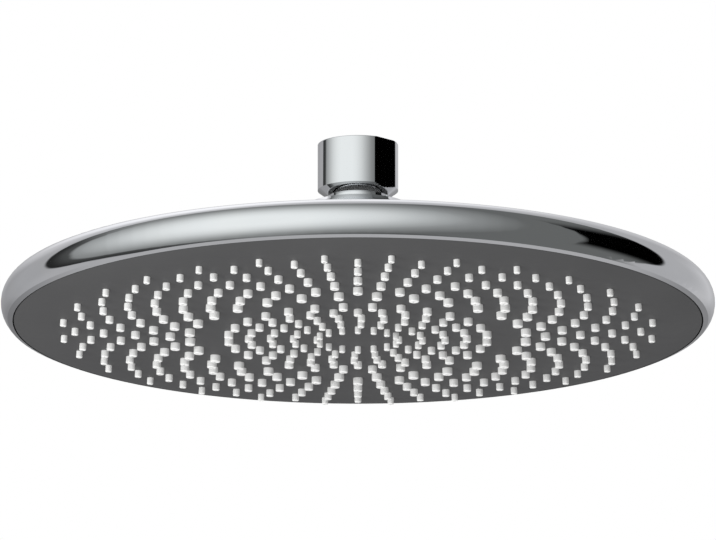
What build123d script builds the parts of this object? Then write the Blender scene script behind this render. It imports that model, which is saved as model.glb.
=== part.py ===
from build123d import *
import os
from math import acos, asin, atan2, cos, degrees, hypot, radians, sin, sqrt, tan

# A rain shower head, hung from its inlet. The origin is the middle of the inlet, on the top face of the
# connector nut. +Z is up, along the nut's thread, and the spray leaves along -Z. Sizes are in millimetres.
# Heights are measured upwards from the middle of the spray face, and level() turns one into a Z value.

# The whole head
head_diameter = 250.0
inlet_to_face = 69.55

# The spray face, a plate that is domed downwards and turned up a little more at its border
rim_width = 4.6
seam_gap = 0.5
dome_radius = 1600.0
border_width = 13.4
border_rise = 1.1
face_wall = 2.2
face_upstand_wall = 2.0
face_upstand_height = 2.8
face_upstand_inset = 0.1

# The rear shell, a flat cone with a rounded rim, a lip and a flared neck
shell_wall = 2.5
rim_round = 8.0
rim_rise = 6.4
lip_corner_angle = 45.0
flare_radius = 27.2
flare_drop = 4.79
crest_radius = 17.75
crest_gap = 1.65
neck_edge_round = 0.25
mouth_radius = 13.05
mouth_gap = 0.5
dish_radius = 12.5
dish_gap = 4.46
boss_length = 13.3
rib_count = 7
rib_wall = 2.0
rib_length = 16.0
rib_edge_gap = 1.5

# The nozzles: an inner and an outer zone of rings with a bare band between them
inner_zone_radius = 14.4
inner_zone_pitch = 8.2
inner_zone_shrink = 0.3
inner_zone_counts = (16, 20, 24, 28, 28)
inner_zone_turns = (0.0, 2.7, 2.3, 0.0, 6.43)
inner_zone_diameter = 2.1
inner_zone_growth = 0.25
bare_band = 13.7
outer_zone_pitch = 6.5
outer_zone_shrink = 0.27
outer_zone_count = 28
outer_zone_diameter = 3.5
outer_zone_taper = 0.16
nozzle_length = 2.35
nozzle_tip_round = 0.35
nozzle_outlet_diameter = 0.9
nozzle_clearance = 0.15

# The nozzle mat and the water chamber behind it
layer_gap = 0.05
mat_wall = 1.5
mat_hole_gap = 0.2
chamber_height = 4.25
plate_wall = 2.0
plate_gap = 0.8
skirt_wall = 2.9

# Screws between the chamber plate and the spray face
inner_screw_count = 7
outer_screw_count = 14
outer_screw_gap = 1.3
screw_diameter = 2.4
screw_skin = 1.5
screw_head_diameter = 5.2
screw_head_height = 1.5
screw_slot_width = 0.7
screw_slot_depth = 0.7
screw_gap = 0.05
screw_pad_margin = 0.8
screw_pad_rise = 0.5
screw_post_wall = 1.6
screw_post_gap = 0.35

# The connector nut, with a female G 1/2 thread drawn as a plain bore at its minor diameter
nut_diameter = 28.2
nut_bevel_height = 2.4
nut_bevel_width = 3.37
nut_bevel_bulge = 0.03
nut_spigot_diameter = 19.7
nut_spigot_length = 1.5
nut_edge_round = 0.4
nut_flat_depth = 1.0
nut_flat_turn = 46.4
nut_floor = 1.1
thread_minor_diameter = 18.64
thread_length = 7.8
seat_bore_step = 0.3

# The washer, the strainer and the retainer under the thread
washer_wall = 2.0
washer_hole_radius = 6.6
strainer_wall = 0.4
strainer_hole_radius = 0.55
strainer_pitch = 1.9
strainer_rings = 3
retainer_wall = 1.4
retainer_hole_gap = 0.22

# The ball joint in the nut
ball_diameter = 15.0
ball_top = 3.6
ball_seat_depth = 2.8
ball_clearance = 0.06
spin_clearance = 0.07
nut_hole_gap = 0.14
fit_gap = 0.05

# The stem below the ball, with its washer, its O-ring and the insert that it is screwed into
neck_radius = 5.2
collar_pass_gap = 0.1
collar_wall = 1.4
shank_radius = 5.6
shank_tail = 2.5
stem_bore_radius = 3.6
stem_mouth_radius = 5.2
stem_mouth_depth = 1.8
stem_washer_wall = 0.8
stem_washer_radius = 12.2
o_ring_section = 1.7
o_ring_squeeze = 0.05
o_ring_drop = 3.0
insert_wall = 3.0
insert_sink = 0.4
insert_length = 11.6
tower_wall = 3.9
tower_bore_gap = 0.6

# The flow spreader under the inlet
spreader_overhang = 0.5
spreader_wall = 1.4
spreader_drop = 1.6
spreader_post_count = 4
spreader_post_radius = 1.3
spreader_post_depth = 4.0

# Radii that follow from the sizes above
head_radius = head_diameter / 2
face_radius = head_radius - rim_width
lip_radius = face_radius + seam_gap
rim_middle_radius = head_radius - rim_round
border_radius = face_radius - border_width
upstand_radius = face_radius - face_upstand_inset
plate_radius = upstand_radius - face_upstand_wall - plate_gap
screw_radius = screw_diameter / 2
screw_post_radius = screw_radius + screw_post_wall
screw_pad_radius = screw_head_diameter / 2 + screw_pad_margin
outer_screw_circle = plate_radius - skirt_wall - screw_post_radius - outer_screw_gap
nut_radius = nut_diameter / 2
nut_spigot_radius = nut_spigot_diameter / 2
thread_radius = thread_minor_diameter / 2
seat_bore_radius = thread_radius - seat_bore_step
swivel_radius = seat_bore_radius - spin_clearance
ball_radius = ball_diameter / 2
seat_sphere = ball_radius + ball_clearance
ball_top_radius = sqrt(ball_radius**2 - ball_top**2)
nut_hole_radius = sqrt(ball_radius**2 - ball_seat_depth**2) + nut_hole_gap
retainer_hole_radius = ball_top_radius + retainer_hole_gap
collar_radius = nut_hole_radius - collar_pass_gap
insert_radius = shank_radius + insert_wall
tower_radius = insert_radius + tower_wall
tower_bore_radius = shank_radius + tower_bore_gap
spreader_post_circle = (tower_bore_radius + tower_radius) / 2

# Z values in the nut, downwards from the inlet
washer_z = -thread_length - washer_wall
strainer_z = washer_z - strainer_wall
retainer_z = strainer_z - retainer_wall
ball_z = retainer_z - ball_top
nut_floor_z = ball_z - ball_seat_depth
nut_body_z = nut_floor_z - nut_floor
nut_end_z = nut_body_z - nut_spigot_length

# Heights above the middle of the spray face
mat_bottom = face_wall + layer_gap
mat_top = mat_bottom + mat_wall
plate_bottom = mat_top + chamber_height
plate_top = plate_bottom + plate_wall
screw_length = plate_top + screw_pad_rise - screw_skin
nut_end_height = nut_end_z + inlet_to_face
crest_height = nut_end_height - crest_gap
mouth_height = nut_end_height - mouth_gap
seat_height = nut_end_height - dish_gap
collar_bottom = seat_height + stem_washer_wall
collar_top = collar_bottom + collar_wall
boss_bottom_height = seat_height - boss_length
insert_top_height = boss_bottom_height - insert_sink
insert_end_height = insert_top_height - insert_length
o_ring_height = insert_end_height - o_ring_drop
shank_end_height = o_ring_height - shank_tail


def level(height):
    """Z value of a height above the middle of the spray face."""
    return height - inlet_to_face


def crown(radius):
    """How far the domed layers have risen at this radius, from their middle."""
    return dome_radius - sqrt(dome_radius**2 - radius**2)


def dome_arc(height, inner_radius, outer_radius):
    """Arc of a domed layer in the XZ plane. All the layers are parts of spheres about one middle point."""
    layer_radius = dome_radius - height
    start = degrees(asin(inner_radius / layer_radius))
    end = degrees(asin(outer_radius / layer_radius))
    return CenterArc((0, level(dome_radius)), layer_radius, start - 90, end - start)


def domed_section(bottom, top, inner_radius, outer_radius):
    """Half section of a domed layer between two heights and two radii, in the XZ plane."""
    with BuildSketch(Plane.XZ) as section:
        with BuildLine():
            lower = dome_arc(bottom, inner_radius, outer_radius)
            upper = dome_arc(top, inner_radius, outer_radius)
            Line(lower @ 1, upper @ 1)
            Line(lower @ 0, upper @ 0)
        make_face()
    return section.sketch


def turned_section(*points):
    """Half section with straight sides, in the XZ plane, for a turned piece."""
    with BuildSketch(Plane.XZ) as section:
        with BuildLine():
            Polyline(*points, close=True)
        make_face()
    return section.sketch


def nozzle_rings():
    """Radius, number, turn and nozzle diameter of every ring of nozzles, from the middle outwards."""
    rings = []
    radius = inner_zone_radius
    for ring, count in enumerate(inner_zone_counts):
        pitch = inner_zone_pitch - inner_zone_shrink * ring
        rings.append((radius, count, inner_zone_turns[ring], inner_zone_diameter + inner_zone_growth * ring))
        radius += pitch
    radius += bare_band - pitch
    ring = 0
    while radius < outer_screw_circle - screw_post_radius - outer_zone_diameter / 2:
        turn = 180 / outer_zone_count if ring % 2 == 0 else 0.0
        rings.append((radius, outer_zone_count, turn, outer_zone_diameter - outer_zone_taper * ring))
        radius += outer_zone_pitch - outer_zone_shrink * ring
        ring += 1
    return rings


def nozzle_places(radius, count, turn):
    """Planes on the face's outside at every nozzle of one ring, each square to the dome."""
    places = []
    for nozzle in range(count):
        angle = radians(turn - 90 + 360 * nozzle / count)
        foot = Vector(radius * cos(angle), radius * sin(angle), level(crown(radius)))
        places.append(Plane(origin=foot, z_dir=Vector(0, 0, level(dome_radius)) - foot))
    return places


def nozzle_post(diameter):
    """One nozzle of the mat, a round post with a rounded tip, from the tip to the middle of the sheet."""
    root = (mat_bottom + mat_top) / 2
    round_middle = (diameter / 2 - nozzle_tip_round, nozzle_tip_round - nozzle_length)
    with BuildPart() as post:
        with BuildSketch(Plane.XZ):
            with BuildLine():
                Polyline((diameter / 2, nozzle_tip_round - nozzle_length), (diameter / 2, root), (0, root),
                         (0, -nozzle_length), (round_middle[0], -nozzle_length))
                CenterArc(round_middle, nozzle_tip_round, -90, 90)
            make_face()
        revolve(axis=Axis.Z)
    return post.part


def screw_places(circle, count):
    """Polar places of one circle of screws, clear of the middle line at the front."""
    return PolarLocations(circle, count, start_angle=180 / count - 90)


def screw_group(circle, count):
    """All screws on one circle: slotted pan heads on plain shanks, driven from behind the chamber plate."""
    seat = level(plate_top + screw_pad_rise + crown(circle))
    with BuildPart() as screws:
        with BuildSketch(Plane.XY.offset(seat)):
            with screw_places(circle, count):
                Circle(screw_head_diameter / 2)
        extrude(amount=screw_head_height)
        with BuildSketch(Plane.XY.offset(seat)):
            with screw_places(circle, count):
                Circle(screw_radius)
        extrude(amount=-screw_length)
        with BuildSketch(Plane.XY.offset(seat + screw_head_height)):
            with screw_places(circle, count):
                Rectangle(screw_slot_width, screw_head_diameter)
        extrude(amount=-screw_slot_depth, mode=Mode.SUBTRACT)
    return screws.part


inner_zone_end = nozzle_rings()[len(inner_zone_counts) - 1][0]
inner_screw_circle = inner_zone_end + bare_band / 2
screw_circles = ((inner_screw_circle, inner_screw_count), (outer_screw_circle, outer_screw_count))

# Connector nut: chromed brass, bored for the thread and the ball, with a floor that holds the ball's seat. Its
# bevel ends at a short spigot, which stands over the shell's dish.
with BuildPart() as connector_nut:
    bevel_top = (nut_radius, nut_body_z + nut_bevel_height)
    bevel_end = (nut_radius - nut_bevel_width, nut_body_z)
    bevel_length = hypot(nut_bevel_width, nut_bevel_height)
    bevel_middle = (
        (bevel_top[0] + bevel_end[0]) / 2 + nut_bevel_bulge * nut_bevel_height / bevel_length,
        (bevel_top[1] + bevel_end[1]) / 2 - nut_bevel_bulge * nut_bevel_width / bevel_length,
    )
    with BuildSketch(Plane.XZ):
        with BuildLine():
            Polyline((thread_radius, -thread_length), (thread_radius, 0), (nut_radius, 0), bevel_top)
            ThreePointArc(bevel_top, bevel_middle, bevel_end)
            Polyline(
                bevel_end,
                (nut_spigot_radius, nut_body_z),
                (nut_spigot_radius, nut_end_z),
                (nut_hole_radius, nut_end_z),
                (nut_hole_radius, nut_floor_z),
                (seat_bore_radius, nut_floor_z),
                (seat_bore_radius, -thread_length),
                (thread_radius, -thread_length),
            )
        make_face()
    revolve(axis=Axis.Z)
    top_circles = connector_nut.edges().filter_by(GeomType.CIRCLE).group_by(Axis.Z)[-1]
    fillet(top_circles.sort_by(SortBy.RADIUS)[-1], radius=nut_edge_round)
    with BuildSketch(Plane.XY):
        with PolarLocations(nut_radius, 2, start_angle=nut_flat_turn - 90):
            Rectangle(2 * nut_flat_depth, nut_diameter)
    extrude(amount=nut_end_z, mode=Mode.SUBTRACT)

# Inlet washer: the rubber ring that the shower arm is screwed down on
with BuildPart() as inlet_washer:
    with BuildSketch(Plane.XY.offset(washer_z)):
        Circle(seat_bore_radius - fit_gap)
        Circle(washer_hole_radius, mode=Mode.SUBTRACT)
    extrude(amount=washer_wall)

# Strainer screen: a stainless disc with rings of small holes, held under the washer
with BuildPart() as strainer_screen:
    with BuildSketch(Plane.XY.offset(strainer_z)):
        Circle(seat_bore_radius - fit_gap)
        Circle(strainer_hole_radius, mode=Mode.SUBTRACT)
        for ring in range(1, strainer_rings + 1):
            with PolarLocations(ring * strainer_pitch, 6 * ring):
                Circle(strainer_hole_radius, mode=Mode.SUBTRACT)
    extrude(amount=strainer_wall)

# Seal retainer: the ring in the nut that keeps the ball's seal down
with BuildPart() as seal_retainer:
    with BuildSketch(Plane.XY.offset(retainer_z)):
        Circle(seat_bore_radius - fit_gap)
        Circle(retainer_hole_radius, mode=Mode.SUBTRACT)
    extrude(amount=retainer_wall)

# Ball seat: the plastic ring under the ball, hollowed to the ball and turning in the nut's bore
with BuildPart() as ball_seat:
    with BuildSketch(Plane.XY.offset(nut_floor_z + fit_gap)):
        Circle(swivel_radius)
    extrude(amount=ball_seat_depth - fit_gap)
    with Locations((0, 0, ball_z)):
        Sphere(seat_sphere, mode=Mode.SUBTRACT)

# Ball seal: the rubber ring on the upper half of the ball, with the same hollow
with BuildPart() as ball_seal:
    with BuildSketch(Plane.XY.offset(ball_z + fit_gap)):
        Circle(swivel_radius)
    extrude(amount=ball_top - 2 * fit_gap)
    with Locations((0, 0, ball_z)):
        Sphere(seat_sphere, mode=Mode.SUBTRACT)

# Ball stem: turned brass, a bored ball on a neck, then a collar and the shank with its O-ring groove
with BuildPart() as ball_stem:
    groove_radius = tower_bore_radius - o_ring_section - o_ring_squeeze
    groove_half = o_ring_section / 2 + o_ring_squeeze
    neck_z = ball_z - sqrt(ball_radius**2 - neck_radius**2)
    top_z = ball_z + ball_top
    with BuildSketch(Plane.XZ):
        with BuildLine():
            Polyline(
                (stem_bore_radius, level(shank_end_height)),
                (stem_bore_radius, top_z - stem_mouth_depth),
                (stem_mouth_radius, top_z),
                (ball_top_radius, top_z),
            )
            ThreePointArc((ball_top_radius, top_z), (ball_radius, ball_z), (neck_radius, neck_z))
            Polyline(
                (neck_radius, neck_z),
                (neck_radius, level(collar_top)),
                (collar_radius, level(collar_top)),
                (collar_radius, level(collar_bottom)),
                (shank_radius, level(collar_bottom)),
                (shank_radius, level(o_ring_height + groove_half)),
                (groove_radius, level(o_ring_height + groove_half)),
                (groove_radius, level(o_ring_height - groove_half)),
                (shank_radius, level(o_ring_height - groove_half)),
                (shank_radius, level(shank_end_height)),
                (stem_bore_radius, level(shank_end_height)),
            )
        make_face()
    revolve(axis=Axis.Z)

# Stem washer: it lies on the floor of the shell's dish, under the stem's collar
with BuildPart() as stem_washer:
    with BuildSketch(Plane.XY.offset(level(seat_height))):
        Circle(stem_washer_radius)
        Circle(shank_radius + fit_gap, mode=Mode.SUBTRACT)
    extrude(amount=stem_washer_wall)

# Stem O-ring: it seals the end of the shank in the tower of the chamber plate
with BuildPart() as stem_o_ring:
    with BuildSketch(Plane.XZ):
        with Locations((tower_bore_radius - o_ring_section / 2 - o_ring_squeeze / 2, level(o_ring_height))):
            Circle((o_ring_section - o_ring_squeeze) / 2)
    revolve(axis=Axis.Z)

# Inlet insert: the brass bush in the tower, which takes the thread of the shank
with BuildPart() as inlet_insert:
    with BuildSketch(Plane.XY.offset(level(insert_top_height))):
        Circle(insert_radius)
        Circle(shank_radius + fit_gap, mode=Mode.SUBTRACT)
    extrude(amount=-insert_length)

# Rear shell: one chromed moulding, with the rim, the lip, the flared neck, the boss and the locating ribs
with BuildPart() as rear_shell:
    lip_z = level(crown(face_radius) + border_rise)
    rim_z = lip_z + rim_rise
    crest_point = (crest_radius, level(crest_height))
    flare_point = (flare_radius, level(crest_height - flare_drop))
    rim_reach = rim_middle_radius - flare_radius
    rim_drop = flare_point[1] - rim_z
    cone_turn = atan2(rim_drop, rim_reach) - asin(rim_round / hypot(rim_drop, rim_reach))
    rim_end_angle = 90 - degrees(cone_turn)
    inner_round = rim_round - shell_wall
    lip_reach = lip_radius - rim_middle_radius
    lip_end_angle = degrees(acos(lip_reach / inner_round))

    def on_rim(round_radius, angle):
        """Point on a round of the rim's section, by its angle above the widest level."""
        turn = radians(angle)
        return (rim_middle_radius + round_radius * cos(turn), rim_z + round_radius * sin(turn))

    inner_cone_end = on_rim(inner_round, rim_end_angle)

    def inner_cone(radius, sink=0.0):
        """Point on the inside of the cone at this radius, or sunk this far up into its wall."""
        return (radius, inner_cone_end[1] + (inner_cone_end[0] - radius) * tan(cone_turn) + sink)

    with BuildSketch(Plane.XZ):
        with BuildLine():
            Line((lip_radius, lip_z), on_rim(rim_round, -lip_corner_angle))
            rim_arc = lip_corner_angle + rim_end_angle
            CenterArc((rim_middle_radius, rim_z), rim_round, -lip_corner_angle, rim_arc)
            Line(on_rim(rim_round, rim_end_angle), flare_point)
            TangentArc(flare_point, crest_point, tangent=(-1, tan(cone_turn)))
            Polyline(
                crest_point,
                (mouth_radius, level(mouth_height)),
                (dish_radius, level(seat_height)),
                (shank_radius + fit_gap, level(seat_height)),
                (shank_radius + fit_gap, level(boss_bottom_height)),
                (tower_radius, level(boss_bottom_height)),
                inner_cone(tower_radius),
                inner_cone_end,
            )
            CenterArc((rim_middle_radius, rim_z), inner_round, -lip_end_angle, lip_end_angle + rim_end_angle)
            Line(on_rim(inner_round, -lip_end_angle), (lip_radius, lip_z))
        make_face()
    revolve(axis=Axis.Z)
    neck_circles = rear_shell.edges().filter_by(GeomType.CIRCLE).group_by(Axis.Z)
    fillet(neck_circles[-1] + neck_circles[-2], radius=neck_edge_round)
    rib_outer = plate_radius - rib_edge_gap
    rib_inner = rib_outer - rib_length
    for rib in range(rib_count):
        rib_turn = radians(360 * rib / rib_count - 90)
        outwards = Vector(cos(rib_turn), sin(rib_turn), 0)
        with BuildSketch(Plane(origin=(0, 0, 0), x_dir=outwards, z_dir=outwards.cross(Vector(0, 0, 1)))):
            with BuildLine():
                Polyline(
                    (rib_inner, level(plate_top + crown(rib_outer) + layer_gap)),
                    (rib_outer, level(plate_top + crown(rib_outer) + layer_gap)),
                    inner_cone(rib_outer, shell_wall / 2),
                    inner_cone(rib_inner, shell_wall / 2),
                    close=True,
                )
            make_face()
        extrude(amount=rib_wall / 2, both=True)

# Chamber plate: the cover of the water chamber, with its skirt, the tower for the stem and the screw pads
with BuildPart() as chamber_plate:
    revolve(domed_section(plate_bottom, plate_top, tower_bore_radius, plate_radius), axis=Axis.Z)
    skirt_inner = plate_radius - skirt_wall
    revolve(domed_section(mat_top + layer_gap, plate_bottom + plate_wall / 2, skirt_inner, plate_radius),
            axis=Axis.Z)
    tower_top = level(boss_bottom_height - layer_gap)
    tower_foot = level(plate_bottom + plate_wall / 2)
    insert_foot = level(insert_end_height - layer_gap)
    revolve(
        turned_section(
            (tower_bore_radius, tower_foot),
            (tower_radius, tower_foot),
            (tower_radius, tower_top),
            (insert_radius + fit_gap, tower_top),
            (insert_radius + fit_gap, insert_foot),
            (tower_bore_radius, insert_foot),
        ),
        axis=Axis.Z,
    )
    for circle, count in screw_circles:
        pad_top = level(plate_top + screw_pad_rise + crown(circle))
        with BuildSketch(Plane.XY.offset(pad_top)):
            with screw_places(circle, count):
                Circle(screw_pad_radius)
        extrude(amount=-screw_pad_rise - plate_wall / 2)
        with BuildSketch(Plane.XY.offset(pad_top)):
            with screw_places(circle, count):
                Circle(screw_radius + screw_gap)
        extrude(amount=-screw_length, mode=Mode.SUBTRACT)
    with BuildSketch(Plane.XY.offset(level(plate_bottom - plate_wall))):
        with PolarLocations(spreader_post_circle, spreader_post_count):
            Circle(spreader_post_radius + fit_gap)
    extrude(amount=plate_wall + spreader_post_depth + fit_gap, mode=Mode.SUBTRACT)

# Flow spreader: a disc under the inlet, with posts pressed into the foot of the tower
with BuildPart() as flow_spreader:
    with BuildSketch(Plane.XY.offset(level(plate_bottom - spreader_drop))):
        Circle(tower_radius + spreader_overhang)
    extrude(amount=-spreader_wall)
    with BuildSketch(Plane.XY.offset(level(plate_bottom - spreader_drop))):
        with PolarLocations(spreader_post_circle, spreader_post_count):
            Circle(spreader_post_radius)
    extrude(amount=spreader_drop + spreader_post_depth)

# Nozzle mat: one silicone moulding, a domed sheet with all the nozzles on it and an outlet through each
with BuildPart() as nozzle_mat:
    revolve(domed_section(mat_bottom, mat_top, 0, plate_radius), axis=Axis.Z)
    for radius, count, turn, diameter in nozzle_rings():
        with Locations(*nozzle_places(radius, count, turn)):
            add(nozzle_post(diameter))
    for radius, count, turn, diameter in nozzle_rings():
        with Locations(*nozzle_places(radius, count, turn)):
            Cylinder(nozzle_outlet_diameter / 2, 4 * (nozzle_length + mat_top), mode=Mode.SUBTRACT)
    for circle, count in screw_circles:
        with BuildSketch(Plane.XY.offset(level(crown(circle)))):
            with screw_places(circle, count):
                Circle(screw_post_radius + mat_hole_gap)
        extrude(amount=2 * mat_top, mode=Mode.SUBTRACT)

# Spray face: the grey plate that shows, with its upstand, a hole for each nozzle and a post for each screw
with BuildPart() as spray_face:
    edge_foot = (face_radius, level(crown(face_radius) + border_rise))
    with BuildSketch(Plane.XZ):
        with BuildLine():
            outside = dome_arc(0, 0, border_radius)
            inside = dome_arc(face_wall, 0, face_radius)
            TangentArc(outside @ 1, edge_foot, tangent=outside % 1)
            Line(edge_foot, inside @ 1)
            Line(inside @ 0, outside @ 0)
        make_face()
    revolve(axis=Axis.Z)
    revolve(domed_section(face_wall - layer_gap, face_wall + face_upstand_height,
                          upstand_radius - face_upstand_wall, upstand_radius), axis=Axis.Z)
    for radius, count, turn, diameter in nozzle_rings():
        with Locations(*nozzle_places(radius, count, turn)):
            Cylinder(diameter / 2 + nozzle_clearance, 4 * face_wall, mode=Mode.SUBTRACT)
    for circle, count in screw_circles:
        post_top = level(plate_bottom - screw_post_gap + crown(circle))
        screw_end = level(plate_top + screw_pad_rise + crown(circle)) - screw_length
        with BuildSketch(Plane.XY.offset(post_top)):
            with screw_places(circle, count):
                Circle(screw_post_radius)
        extrude(amount=level(face_wall / 2 + crown(circle)) - post_top)
        with BuildSketch(Plane.XY.offset(post_top)):
            with screw_places(circle, count):
                Circle(screw_radius + screw_gap)
        extrude(amount=screw_end - screw_gap - post_top, mode=Mode.SUBTRACT)

pieces = {
    "connector_nut": connector_nut.part,
    "inlet_washer": inlet_washer.part,
    "strainer_screen": strainer_screen.part,
    "seal_retainer": seal_retainer.part,
    "ball_seat": ball_seat.part,
    "ball_seal": ball_seal.part,
    "ball_stem": ball_stem.part,
    "stem_washer": stem_washer.part,
    "stem_o_ring": stem_o_ring.part,
    "inlet_insert": inlet_insert.part,
    "rear_shell": rear_shell.part,
    "chamber_plate": chamber_plate.part,
    "flow_spreader": flow_spreader.part,
    "nozzle_mat": nozzle_mat.part,
    "spray_face": spray_face.part,
    "inner_screws": screw_group(inner_screw_circle, inner_screw_count),
    "outer_screws": screw_group(outer_screw_circle, outer_screw_count),
}

os.makedirs("parts", exist_ok=True)
for name, piece in pieces.items():
    piece.label = name
    export_step(piece, f"parts/{name}.step")
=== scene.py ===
from math import acos, cos, pi, radians, sin

import bmesh
import bpy
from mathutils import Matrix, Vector


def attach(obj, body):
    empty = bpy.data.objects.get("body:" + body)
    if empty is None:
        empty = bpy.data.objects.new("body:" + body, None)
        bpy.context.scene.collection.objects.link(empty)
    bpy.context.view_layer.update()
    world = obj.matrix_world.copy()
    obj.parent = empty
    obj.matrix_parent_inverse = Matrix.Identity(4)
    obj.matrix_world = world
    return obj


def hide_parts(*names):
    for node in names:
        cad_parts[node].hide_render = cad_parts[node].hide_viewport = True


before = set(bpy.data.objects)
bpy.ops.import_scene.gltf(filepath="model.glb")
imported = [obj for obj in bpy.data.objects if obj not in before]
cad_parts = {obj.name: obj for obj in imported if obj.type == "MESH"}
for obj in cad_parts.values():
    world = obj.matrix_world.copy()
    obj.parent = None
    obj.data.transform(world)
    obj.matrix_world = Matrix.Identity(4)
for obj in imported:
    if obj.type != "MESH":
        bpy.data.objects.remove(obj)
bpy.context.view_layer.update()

# Connector nut: turned brass, polished and chromed, with two spanner flats, a bevel and a short spigot.
# It is screwed on the shower arm, so its mouth has the turns of a G 1/2 pipe thread and a lead-in.
# The solid has a plain bore, and this nut stands for it with the thread cut in.
nut_radius = 14.1
nut_edge = 0.4
nut_bevel_start = -16.7
nut_bevel_end = -19.1
nut_bevel_radius = 10.73
nut_bevel_bulge = 0.03
nut_bevel_steps = 12
nut_spigot_radius = 9.85
nut_end = -20.6
nut_end_edge = 0.2
nut_end_cut = 0.06
nut_flat_reach = 13.1
nut_flat_turns = (radians(-43.6), radians(136.4))
nut_hole_radius = 7.1
nut_floor = -18.0
nut_segments = 240
nut_crease = radians(12)
seat_bore_radius = 9.02
thread_radius = 9.32
thread_depth = 1.16
thread_pitch = 1.814
thread_fullness = 0.8
thread_end = -7.8
thread_runout = 1.6
thread_rows = 56
lead_in_radius = 10.7


def thread_bore(turn, z):
    """Radius of the threaded bore at this turn round the nut and this height, in millimetres."""
    wave = 0.5 - 0.5 * cos(2 * pi * (z / thread_pitch - turn / (2 * pi)))
    runout = min(1.0, (z - thread_end) / thread_runout)
    return max(thread_radius + thread_depth * runout * wave**thread_fullness, lead_in_radius + z)


def flat_sided(turn, radius):
    """Radius of the nut's outside at this turn, with its two flats."""
    for flat in nut_flat_turns:
        across = cos(turn - flat)
        if across > 0:
            radius = min(radius, nut_flat_reach / across)
    return radius


nut_outside = [(nut_radius - nut_edge + nut_edge * sin(radians(a)), nut_edge * cos(radians(a)) - nut_edge)
               for a in range(0, 91, 10)]
bevel_run = Vector((nut_bevel_radius - nut_radius, nut_bevel_end - nut_bevel_start))
bevel_out = Vector((-bevel_run.y, bevel_run.x)).normalized()
for step in range(nut_bevel_steps + 1):
    share = step / nut_bevel_steps
    point = Vector((nut_radius, nut_bevel_start)) + bevel_run * share
    point += bevel_out * nut_bevel_bulge * 4 * share * (1 - share)
    nut_outside.append(tuple(point))
nut_inside = [(nut_spigot_radius, nut_bevel_end),
              (nut_spigot_radius, nut_end + nut_end_edge),
              (nut_spigot_radius - nut_end_cut, nut_end + nut_end_cut),
              (nut_spigot_radius - nut_end_edge, nut_end),
              (nut_hole_radius + nut_end_edge, nut_end),
              (nut_hole_radius, nut_end + nut_end_edge),
              (nut_hole_radius, nut_floor),
              (seat_bore_radius, nut_floor),
              (seat_bore_radius, thread_end)]
flat_half = acos(nut_flat_reach / nut_radius)
nut_turns = {round(2 * pi * k / nut_segments, 6) for k in range(nut_segments)}
for flat in nut_flat_turns:
    nut_turns |= {round((flat + side) % (2 * pi), 6) for side in (-flat_half, flat_half)}
nut_turns = sorted(nut_turns)

nut_shape = bmesh.new()
nut_rings = []
for row in range(thread_rows + 1):
    z = thread_end * (1 - row / thread_rows)
    nut_rings.append([(thread_bore(turn, z), z) for turn in nut_turns])
for radius, z in nut_outside:
    nut_rings.append([(flat_sided(turn, radius), z) for turn in nut_turns])
for radius, z in nut_inside:
    nut_rings.append([(radius, z) for turn in nut_turns])
nut_points = [[nut_shape.verts.new((r * cos(turn) / 1000, r * sin(turn) / 1000, z / 1000))
               for turn, (r, z) in zip(nut_turns, ring)] for ring in nut_rings]
threaded = set()
for row, ring in enumerate(nut_points):
    above = nut_points[(row + 1) % len(nut_points)]
    for k in range(len(nut_turns)):
        following = (k + 1) % len(nut_turns)
        face = nut_shape.faces.new((ring[k], ring[following], above[following], above[k]))
        face.smooth = True
        if row < thread_rows:
            threaded.add(face)
bmesh.ops.recalc_face_normals(nut_shape, faces=nut_shape.faces)
for edge in nut_shape.edges:
    cut_in_thread = all(face in threaded for face in edge.link_faces)
    edge.smooth = cut_in_thread or edge.calc_face_angle(0.0) < nut_crease
nut_mesh = bpy.data.meshes.new("connector_nut_threaded")
nut_shape.to_mesh(nut_mesh)
nut_shape.free()
nut = bpy.data.objects.new("connector_nut_threaded", nut_mesh)
bpy.context.collection.objects.link(nut)


def finish_with(name, colour, metallic, roughness):
    """A new finish with its shader, and the place on the piece that its patterns are laid on."""
    finish = bpy.data.materials.new(name)
    finish.use_nodes = True
    shader = finish.node_tree.nodes["Principled BSDF"]
    shader.inputs["Base Color"].default_value = (*colour, 1)
    shader.inputs["Metallic"].default_value = metallic
    shader.inputs["Roughness"].default_value = roughness
    place = finish.node_tree.nodes.new("ShaderNodeTexCoord").outputs["Object"]
    return finish, shader, place


def mottle(finish, place, scale, detail=3.0, stretch=None):
    """Fine uneven pattern on a finish, drawn out along one way if it is stretched."""
    tree = finish.node_tree
    if stretch:
        drawn = tree.nodes.new("ShaderNodeMapping")
        drawn.inputs["Scale"].default_value = stretch
        tree.links.new(place, drawn.inputs["Vector"])
        place = drawn.outputs["Vector"]
    noise = tree.nodes.new("ShaderNodeTexNoise")
    noise.inputs["Scale"].default_value = scale
    noise.inputs["Detail"].default_value = detail
    tree.links.new(place, noise.inputs["Vector"])
    return noise.outputs["Fac"]


def between(finish, pattern, low, high, socket):
    """Lays a pattern, which lies mostly from 0.3 to 0.7, on a number of the shader, from low to high."""
    tree = finish.node_tree
    spread = tree.nodes.new("ShaderNodeMapRange")
    spread.inputs["From Min"].default_value = 0.3
    spread.inputs["From Max"].default_value = 0.7
    spread.inputs["To Min"].default_value = low
    spread.inputs["To Max"].default_value = high
    tree.links.new(pattern, spread.inputs["Value"])
    tree.links.new(spread.outputs["Result"], socket)


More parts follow.
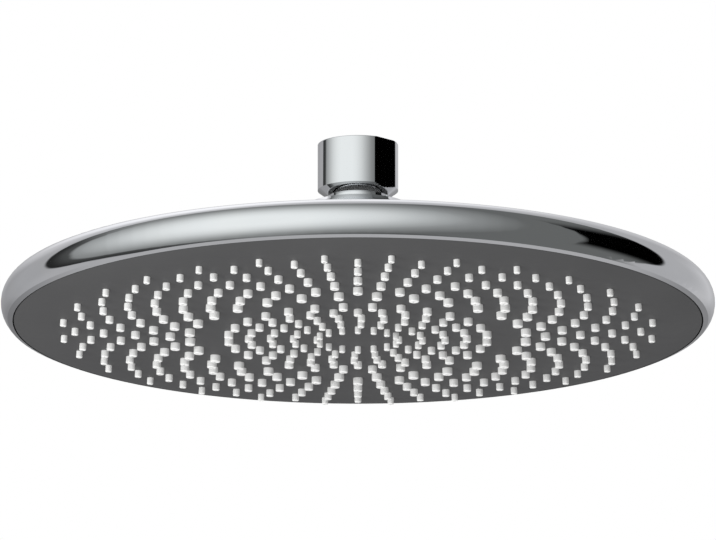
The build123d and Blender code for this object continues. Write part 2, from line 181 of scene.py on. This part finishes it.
def tint(finish, pattern, first, second, socket):
    """Lays a pattern of two near colours on the shader's colour."""
    tree = finish.node_tree
    ramp = tree.nodes.new("ShaderNodeValToRGB")
    ramp.color_ramp.elements[0].position = 0.32
    ramp.color_ramp.elements[0].color = (*first, 1)
    ramp.color_ramp.elements[1].position = 0.68
    ramp.color_ramp.elements[1].color = (*second, 1)
    tree.links.new(pattern, ramp.inputs["Fac"])
    tree.links.new(ramp.outputs["Color"], socket)


def relief(finish, shader, pattern, height, strength):
    """Raises a pattern by this height, in millimetres."""
    tree = finish.node_tree
    bump = tree.nodes.new("ShaderNodeBump")
    bump.inputs["Strength"].default_value = strength
    bump.inputs["Distance"].default_value = height / 1000
    tree.links.new(pattern, bump.inputs["Height"])
    tree.links.new(bump.outputs["Normal"], shader.inputs["Normal"])


def chrome_plating(name, polish, waviness):
    """Polished chrome with the faint waves of the piece under it and the wiped patches of handling."""
    finish, shader, place = finish_with(name, (0.80, 0.81, 0.82), 1.0, polish)
    wiped = mottle(finish, place, 38.0, 4.0)
    tint(finish, wiped, (0.79, 0.80, 0.815), (0.815, 0.82, 0.825), shader.inputs["Base Color"])
    between(finish, mottle(finish, place, 140.0, 5.0), polish, polish + 0.02, shader.inputs["Roughness"])
    relief(finish, shader, mottle(finish, place, 55.0, 1.0), waviness, 0.2)
    return finish


nut_chrome = chrome_plating("chrome_on_brass", 0.025, 0.002)
nut.data.materials.append(nut_chrome)
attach(nut, "connector")
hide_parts("connector_nut")


# Inlet washer: a ring punched from black rubber sheet, laid loose in the nut under the thread.
# The end of the shower arm is screwed down on it, and it is dull with a fine pebbled skin.
def rubber(name, grain, shine):
    """Black rubber with a fine uneven skin and a slightly greyer bloom in places."""
    finish, shader, place = finish_with(name, (0.02, 0.02, 0.02), 0.0, shine)
    tint(finish, mottle(finish, place, 260.0), (0.016, 0.016, 0.017), (0.032, 0.031, 0.03),
         shader.inputs["Base Color"])
    between(finish, mottle(finish, place, 400.0), shine - 0.08, shine + 0.1, shader.inputs["Roughness"])
    relief(finish, shader, mottle(finish, place, grain, 2.0), 0.04, 0.35)
    return finish


def dress(node, finish):
    """Gives a finish to a solid of the part."""
    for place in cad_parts[node].material_slots:
        place.material = finish


dress("inlet_washer", rubber("washer_rubber", 3200.0, 0.62))

# Strainer screen: a disc etched from thin stainless sheet, with rings of small holes, under the washer.
# The sheet keeps the straight fine lines of its rolling.
strainer_steel, shader, place = finish_with("strainer_sheet", (0.6, 0.6, 0.6), 1.0, 0.3)
rolled = mottle(strainer_steel, place, 300.0, 4.0, stretch=(1.0, 14.0, 1.0))
tint(strainer_steel, rolled, (0.54, 0.54, 0.535), (0.66, 0.66, 0.66), shader.inputs["Base Color"])
between(strainer_steel, rolled, 0.24, 0.38, shader.inputs["Roughness"])
relief(strainer_steel, shader, rolled, 0.01, 0.3)
dress("strainer_screen", strainer_steel)


# Seal retainer: a brass ring turned on a lathe and pressed down on the ball's seal.
# Its faces have the fine rings that the lathe tool leaves.
def turned_brass(name, marks):
    """Bare brass with turning marks round the part's axis."""
    finish, shader, place = finish_with(name, (0.71, 0.53, 0.24), 1.0, 0.26)
    tree = finish.node_tree
    rings = tree.nodes.new("ShaderNodeTexWave")
    rings.wave_type = "RINGS"
    rings.rings_direction = "Z"
    rings.inputs["Scale"].default_value = marks
    rings.inputs["Distortion"].default_value = 0.6
    tree.links.new(place, rings.inputs["Vector"])
    tint(finish, mottle(finish, place, 180.0), (0.66, 0.48, 0.21), (0.75, 0.57, 0.27),
         shader.inputs["Base Color"])
    between(finish, mottle(finish, place, 500.0), 0.22, 0.34, shader.inputs["Roughness"])
    relief(finish, shader, rings.outputs["Fac"], 0.01, 0.25)
    return finish


dress("seal_retainer", turned_brass("retainer_brass", 900.0))

# Ball seat: a ring of white slippery plastic in the nut's floor, hollowed to the ball, which turns in it.
# It is waxy rather than glossy, with a faint yellowish cast.
seat_plastic, shader, place = finish_with("bearing_plastic", (0.8, 0.79, 0.76), 0.0, 0.38)
tint(seat_plastic, mottle(seat_plastic, place, 220.0), (0.77, 0.76, 0.725), (0.82, 0.81, 0.785),
     shader.inputs["Base Color"])
between(seat_plastic, mottle(seat_plastic, place, 600.0), 0.33, 0.46, shader.inputs["Roughness"])
relief(seat_plastic, shader, mottle(seat_plastic, place, 2400.0), 0.01, 0.2)
dress("ball_seat", seat_plastic)

# Ball seal: a moulded black rubber ring on the upper half of the ball, with the same hollow.
# It is smoother than the sheet rubber of the washers, and lightly greased.
dress("ball_seal", rubber("seal_rubber", 1800.0, 0.42))

# Ball stem: turned brass, chromed, with a bored ball on a neck, a collar and a threaded shank.
# The ball sits in the nut between the seat and the seal, so that the head can turn and tilt.
dress("ball_stem", chrome_plating("chrome_on_stem", 0.05, 0.003))

# Stem washer: a flat ring of grey rubber on the floor of the shell's dish, wider than the stem's collar.
# The collar squeezes it tight when the stem is screwed in.
collar_rubber, shader, place = finish_with("collar_rubber", (0.36, 0.36, 0.36), 0.0, 0.58)
tint(collar_rubber, mottle(collar_rubber, place, 260.0), (0.34, 0.34, 0.342), (0.385, 0.384, 0.38),
     shader.inputs["Base Color"])
between(collar_rubber, mottle(collar_rubber, place, 400.0), 0.5, 0.68, shader.inputs["Roughness"])
relief(collar_rubber, shader, mottle(collar_rubber, place, 1600.0, 2.0), 0.01, 0.2)
dress("stem_washer", collar_rubber)

# Stem O-ring: a moulded black rubber ring in the groove near the end of the shank.
# It seals the shank in the tower of the chamber plate.
dress("stem_o_ring", rubber("o_ring_rubber", 1500.0, 0.4))

# Inlet insert: a brass bush moulded into the tower of the chamber plate.
# Its bore takes the thread of the shank, and its ends are turned flat.
dress("inlet_insert", turned_brass("insert_brass", 700.0))

# Rear shell: one plastic moulding, a flat cone with a flared neck, a rounded rim and a lip, all chromed.
# The plating copies the polished mould, so it mirrors cleanly, with only a trace of waviness.
dress("rear_shell", chrome_plating("chrome_on_plastic", 0.03, 0.003))


# Chamber plate: the black moulded cover of the water chamber, with the tower that takes the stem.
# It is screwed on the spray face from behind, and its mould was spark-eroded to a fine matt grain.
def black_moulding(name, grain):
    """Black moulded plastic with a fine matt grain and a few smoother patches."""
    finish, shader, place = finish_with(name, (0.03, 0.03, 0.032), 0.0, 0.5)
    tint(finish, mottle(finish, place, 90.0), (0.026, 0.026, 0.028), (0.038, 0.038, 0.04),
         shader.inputs["Base Color"])
    between(finish, mottle(finish, place, 150.0), 0.42, 0.6, shader.inputs["Roughness"])
    relief(finish, shader, mottle(finish, place, grain, 2.0), 0.03, 0.3)
    return finish


dress("chamber_plate", black_moulding("chamber_moulding", 2600.0))

# Flow spreader: a small black moulded disc on four posts under the inlet, pressed into the tower.
# It turns the stream aside, so that the middle nozzles get no direct jet.
dress("flow_spreader", black_moulding("spreader_moulding", 3000.0))


# Inner and outer screws: stainless, with slotted pan heads, driven from behind through the chamber plate.
# They clamp the plate and the nozzle mat on the spray face.
def screw_steel(name, marks):
    """Bright stainless steel with the fine scratches of tumbling."""
    finish, shader, place = finish_with(name, (0.6, 0.6, 0.6), 1.0, 0.3)
    tumbled = mottle(finish, place, marks, 5.0, stretch=(1.0, 3.0, 1.0))
    tint(finish, tumbled, (0.53, 0.53, 0.53), (0.66, 0.66, 0.655), shader.inputs["Base Color"])
    between(finish, tumbled, 0.22, 0.4, shader.inputs["Roughness"])
    relief(finish, shader, tumbled, 0.01, 0.25)
    return finish


dress("inner_screws", screw_steel("inner_screw_steel", 800.0))
dress("outer_screws", screw_steel("outer_screw_steel", 950.0))

# Nozzle mat: one moulding of pale silicone that carries all the nozzles, held flat behind the spray face.
# The nozzles stand out through its holes, soft and satin, so that lime can be rubbed off with a finger.
silicone, shader, place = finish_with("nozzle_silicone", (0.82, 0.82, 0.81), 0.0, 0.55)
tint(silicone, mottle(silicone, place, 240.0), (0.80, 0.80, 0.79), (0.84, 0.84, 0.832),
     shader.inputs["Base Color"])
between(silicone, mottle(silicone, place, 700.0), 0.48, 0.62, shader.inputs["Roughness"])
relief(silicone, shader, mottle(silicone, place, 2200.0, 2.0), 0.02, 0.25)
dress("nozzle_mat", silicone)

# Spray face: one grey moulded plate, domed a little downwards, with a hole for each nozzle.
# It is satin, from a mould blasted to a very fine grain, and the chromed lip of the shell runs round it.
face_plastic, shader, place = finish_with("grey_face_moulding", (0.068, 0.068, 0.069), 0.0, 0.6)
shader.inputs["Specular IOR Level"].default_value = 0.3
tint(face_plastic, mottle(face_plastic, place, 30.0, 2.0), (0.065, 0.065, 0.066), (0.071, 0.071, 0.072),
     shader.inputs["Base Color"])
between(face_plastic, mottle(face_plastic, place, 60.0), 0.56, 0.64, shader.inputs["Roughness"])
relief(face_plastic, shader, mottle(face_plastic, place, 3000.0, 2.0), 0.02, 0.2)
dress("spray_face", face_plastic)

# Floor: the pale floor of the studio, as far below the head as a shower tray is from a shower head.
# It is matt, takes the soft shadow, and lets the camera look up through it from below.
floor_reach = 14.0
floor_drop = 2.4
floor_shape = bmesh.new()
bmesh.ops.create_grid(floor_shape, x_segments=8, y_segments=8, size=floor_reach)
bmesh.ops.translate(floor_shape, verts=floor_shape.verts, vec=(0, 0, -floor_drop))
floor_mesh = bpy.data.meshes.new("studio_floor")
floor_shape.to_mesh(floor_mesh)
floor_shape.free()
floor = bpy.data.objects.new("studio_floor", floor_mesh)
bpy.context.collection.objects.link(floor)
floor_paint, shader, place = finish_with("floor_paint", (0.86, 0.86, 0.86), 0.0, 0.8)
tint(floor_paint, mottle(floor_paint, place, 3.0), (0.85, 0.85, 0.85), (0.87, 0.87, 0.87),
     shader.inputs["Base Color"])
floor_tree = floor_paint.node_tree
underside = floor_tree.nodes.new("ShaderNodeNewGeometry").outputs["Backfacing"]
clear = floor_tree.nodes.new("ShaderNodeBsdfTransparent")
see_through = floor_tree.nodes.new("ShaderNodeMixShader")
floor_tree.links.new(underside, see_through.inputs["Fac"])
floor_tree.links.new(shader.outputs["BSDF"], see_through.inputs[1])
floor_tree.links.new(clear.outputs["BSDF"], see_through.inputs[2])
floor_tree.links.new(see_through.outputs["Shader"], floor_tree.nodes["Material Output"].inputs["Surface"])
floor.data.materials.append(floor_paint)
floor.visible_glossy = False

# Studio round the head: a white paper sweep behind, a soft glow at the front left, a narrow dark gap between
# them on the left, and a black flag on the right. The chrome mirrors all of it.
# Seen directly, the sweep is plain white.
scene = bpy.context.scene
studio = bpy.data.worlds.new("studio")
scene.world = studio
studio.use_nodes = True
room = studio.node_tree
room.nodes.clear()
looking = room.nodes.new("ShaderNodeTexCoord").outputs["Generated"]


def towards(turn, rise):
    """Direction from the head, in degrees to the right of the camera's side and above the level."""
    turn, rise = radians(turn), radians(rise)
    return Vector((sin(turn) * cos(rise), -cos(turn) * cos(rise), sin(rise)))


def along(direction):
    """How nearly a place in the studio lies in this direction."""
    product = room.nodes.new("ShaderNodeVectorMath")
    product.operation = "DOT_PRODUCT"
    product.inputs[1].default_value = direction
    room.links.new(looking, product.inputs[0])
    return product.outputs["Value"]


def step_from(value, start, end):
    """0 before the start, 1 after the end, and smooth between them."""
    step = room.nodes.new("ShaderNodeMapRange")
    step.interpolation_type = "SMOOTHSTEP"
    step.inputs["From Min"].default_value = start
    step.inputs["From Max"].default_value = end
    room.links.new(value, step.inputs["Value"])
    return step.outputs["Result"]


def worked(operation, first, second):
    """Two values worked together, where the second may be a plain number."""
    sums = room.nodes.new("ShaderNodeMath")
    sums.operation = operation
    room.links.new(first, sums.inputs[0])
    if isinstance(second, (int, float)):
        sums.inputs[1].default_value = second
    else:
        room.links.new(second, sums.inputs[1])
    return sums.outputs["Value"]


def without(value, covered):
    """What is left of a value where something covers it."""
    return worked("SUBTRACT", value, worked("MULTIPLY", value, covered))


def brightness_by(value, blend, stops):
    """Brightness that follows a value through these pairs of value and brightness."""
    curve = room.nodes.new("ShaderNodeValToRGB")
    ramp = curve.color_ramp
    ramp.interpolation = blend
    for stop in stops[2:]:
        ramp.elements.new(stop[0])
    for element, (at, level) in zip(ramp.elements, stops):
        element.position = at
        element.color = (level, level, level, 1)
    room.links.new(value, curve.inputs["Fac"])
    return curve.outputs["Color"]


def coloured(value, colour):
    """A brightness in this colour."""
    scaled = room.nodes.new("ShaderNodeVectorMath")
    scaled.operation = "SCALE"
    scaled.inputs[0].default_value = colour
    room.links.new(value, scaled.inputs["Scale"])
    return scaled.outputs["Vector"]


# The paper lies behind a left edge and a right edge, which come forwards low down.
# The right edge is sharp beside the head and soft under it.
paper_dip = 0.53
height = along((0, 0, 1))
across = along((1, 0, 0))
low = worked("MINIMUM", worked("ADD", height, 0.1), 0.0)
dip = worked("MULTIPLY", worked("MULTIPLY", low, low), paper_dip)
left_edge = worked("ADD", along((0.611, 1, -0.074)), dip)
right_edge = worked("ADD", along((-0.464, 1, -0.05)), dip)
raised = step_from(height, -0.6, -0.45)
right_side = without(step_from(right_edge, 0.05, 0.6), raised)
right_side = worked("ADD", right_side, worked("MULTIPLY", step_from(right_edge, -0.023, 0.031), raised))
behind = worked("MULTIPLY", step_from(left_edge, -0.078, -0.025), right_side)

# The paper is brightest high up behind the head and dimmer straight behind it, a little below the level.
# At the level of the head it is brighter on the right than on the left.
sweep_stops = [(0.6, 0.465), (0.8, 0.465), (0.93, 0.64), (1.0, 1.126)]
lean_stops = [(0.16, 0.9), (0.29, 0.76), (0.5, 0.88), (0.71, 1.3), (0.86, 1.03)]
dim_behind = 0.47
sweep = brightness_by(along(towards(-167.6, 48.9)), "LINEAR", sweep_stops)
side = worked("ADD", worked("MULTIPLY", across, 0.5), 0.5)
lean = brightness_by(side, "LINEAR", lean_stops)
level = without(step_from(height, -0.45, -0.1), step_from(height, 0.3, 0.5))
lean = worked("MULTIPLY", worked("SUBTRACT", lean, 1.0), level)
back = worked("MULTIPLY", worked("MULTIPLY", sweep, worked("ADD", lean, 1.0)), behind)
back = without(back, worked("MULTIPLY", step_from(along(towards(180, -14)), 0.84, 0.985), dim_behind))

# In front is the glow, covered by the dark gap with its paler fringe, by the flag on the right
# and by a shade straight below.
glow_stops = [(0.0, 0.154), (0.09, 0.147), (0.34, 0.334), (0.43, 0.355),
              (0.65, 0.658), (0.82, 0.882), (0.94, 0.996), (1.0, 1.038)]
gap_darkness = 0.725
fringe_darkness = 0.154
shade_below = 0.5
glow = brightness_by(along(towards(-33.2, 10.9)), "B_SPLINE", glow_stops)
rise = worked("MULTIPLY", height, 0.073)
reach = worked("MULTIPLY", worked("ABSOLUTE", height, 0.0), 0.112)
gap_edge = worked("ADD", left_edge, worked("SUBTRACT", rise, reach))
gap = worked("ADD", worked("MULTIPLY", step_from(gap_edge, -0.385, -0.31), gap_darkness),
             worked("MULTIPLY", step_from(gap_edge, -0.31, -0.104), fringe_darkness))
gap = without(without(gap, step_from(across, -0.662, -0.255)), step_from(height, 0.442, 0.847))
flag_edge = along((0.212, 0.97, -0.01))
flag = worked("MULTIPLY", step_from(flag_edge, -0.028, 0.018), step_from(across, 0.08, 0.18))
flag = without(worked("MULTIPLY", flag, step_from(height, -0.52, -0.168)), step_from(height, 0.525, 0.82))
front = without(glow, worked("MAXIMUM", gap, flag))
front = without(front, worked("MULTIPLY", step_from(along((0, 0, -1)), 0.86, 0.95), shade_below))

# Both together are what the chrome mirrors, each a trace cooler than white.
mirrored = room.nodes.new("ShaderNodeVectorMath")
room.links.new(coloured(without(front, behind), (0.965, 1, 1)), mirrored.inputs[0])
room.links.new(coloured(back, (1, 1, 1.03)), mirrored.inputs[1])

rays = room.nodes.new("ShaderNodeLightPath")
seen_paper = room.nodes.new("ShaderNodeBackground")
seen_paper.inputs["Color"].default_value = (1, 1, 1, 1)
mirror_light = room.nodes.new("ShaderNodeBackground")
room.links.new(mirrored.outputs["Vector"], mirror_light.inputs["Color"])
soft_light = room.nodes.new("ShaderNodeBackground")
soft_light.inputs["Color"].default_value = (0.62, 0.62, 0.62, 1)
lit = room.nodes.new("ShaderNodeMixShader")
room.links.new(rays.outputs["Is Glossy Ray"], lit.inputs["Fac"])
room.links.new(soft_light.outputs["Background"], lit.inputs[1])
room.links.new(mirror_light.outputs["Background"], lit.inputs[2])
shown = room.nodes.new("ShaderNodeMixShader")
direct = worked("MAXIMUM", rays.outputs["Is Camera Ray"], rays.outputs["Is Transmission Ray"])
room.links.new(direct, shown.inputs["Fac"])
room.links.new(lit.outputs["Shader"], shown.inputs[1])
room.links.new(seen_paper.outputs["Background"], shown.inputs[2])
surface = room.nodes.new("ShaderNodeOutputWorld")
room.links.new(shown.outputs["Shader"], surface.inputs["Surface"])
scene.view_settings.view_transform = "Standard"

# Lamps: two large soft boxes, one at the front left, a little under the head, and one below its face.
# They light the plastic and the silicone, and the chrome mirrors the studio instead of them.
head_middle = Vector((0, 0, -0.05))


def soft_box(name, direction, distance, size, watts):
    """A square soft box at this distance from the head, turned to it."""
    lamp = bpy.data.lights.new(name, "AREA")
    lamp.size = size
    lamp.energy = watts
    box = bpy.data.objects.new(name, lamp)
    box.location = head_middle + direction * distance
    box.rotation_euler = direction.to_track_quat("Z", "Y").to_euler()
    box.visible_camera = False
    box.visible_glossy = False
    bpy.context.collection.objects.link(box)


soft_box("front_left_box", towards(-45, -12), 1.6, 0.9, 19.0)
soft_box("lower_box", towards(-20, -78), 1.4, 1.1, 9.5)

# Camera: far off with a long lens, below the level of the head and looking up at its face by 14 degrees.
# The frame is 250.7 millimetres wide where the head is.
camera_distance = 9.0
frame_width = 0.2507
sensor_width = 36.0
aim = Vector((0.00003, 0, -0.0453))
view_from = towards(0, -14.05)
lens = bpy.data.cameras.new("camera")
lens.sensor_width = sensor_width
lens.lens = sensor_width * camera_distance / frame_width
lens.clip_end = 60.0
camera = bpy.data.objects.new("camera", lens)
camera.location = aim + view_from * camera_distance
camera.rotation_euler = view_from.to_track_quat("Z", "Y").to_euler()
bpy.context.collection.objects.link(camera)
scene.camera = camera
